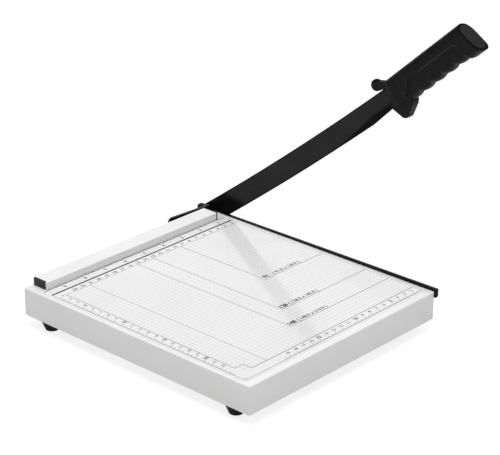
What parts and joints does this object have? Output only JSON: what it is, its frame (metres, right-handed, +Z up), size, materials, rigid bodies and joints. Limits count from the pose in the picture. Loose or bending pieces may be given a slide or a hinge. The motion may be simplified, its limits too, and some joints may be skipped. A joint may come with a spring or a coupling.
{
  "type": "paper cutter",
  "caption": "Desk paper cutter: folded steel base with a printed scale sheet, rear fence and fixed edge blade, and a long hinged knife with a moulded handle.",
  "frame": {"origin": "on the desk under the middle of the base", "axes": "+X towards the knife's side, +Y towards the fence and the hinge, +Z up"},
  "size_m": [0.263, 0.3396, 0.2953],
  "materials": {
    "white_paint": "smooth white paint, satin",
    "printed_sheet": "white printed sheet, glossy",
    "black_paint": "black paint, satin",
    "zinc": "zinc plate",
    "cap_plastic": "black moulding",
    "handle_plastic": "black moulding, finely textured",
    "end_cap_plastic": "dark grey moulding",
    "foot_rubber": "black rubber"
  },
  "bodies": {
    "base": {"base_tray": "white_paint", "table_stiffener": "zinc", "backing_bar": "zinc", "scale_sheet": "printed_sheet", "fence_rail": "white_paint", "fence_cap_left": "cap_plastic", "fence_cap_right": "cap_plastic", "fence_screws": "zinc", "fence_nuts": "zinc", "fixed_blade": "black_paint", "fixed_blade_screws": "black_paint", "hinge_bracket": "black_paint", "bracket_screws": "zinc", "bracket_nuts": "zinc", "pivot_bolt": "zinc", "pivot_spacer": "zinc", "pivot_washers": "zinc", "pivot_spring": "zinc", "pivot_nut": "zinc", "foot_front_left": "foot_rubber", "foot_front_right": "foot_rubber", "foot_rear_left": "foot_rubber", "foot_rear_right": "foot_rubber", "foot_washers": "zinc", "foot_screws": "zinc", "foot_nuts": "zinc"},
    "arm": {"blade_arm": "black_paint", "handle_left_half": "handle_plastic", "handle_right_half": "handle_plastic", "handle_end_cap": "end_cap_plastic", "handle_screws": "zinc"}
  },
  "joints": [
    {"name": "arm_hinge", "type": "hinge", "parent": "base", "child": "arm", "pos_m": [0.12845, 0.1493, 0.0299], "axis": [-1, 0, 0], "range_deg": [-37, 40]}
  ]
}
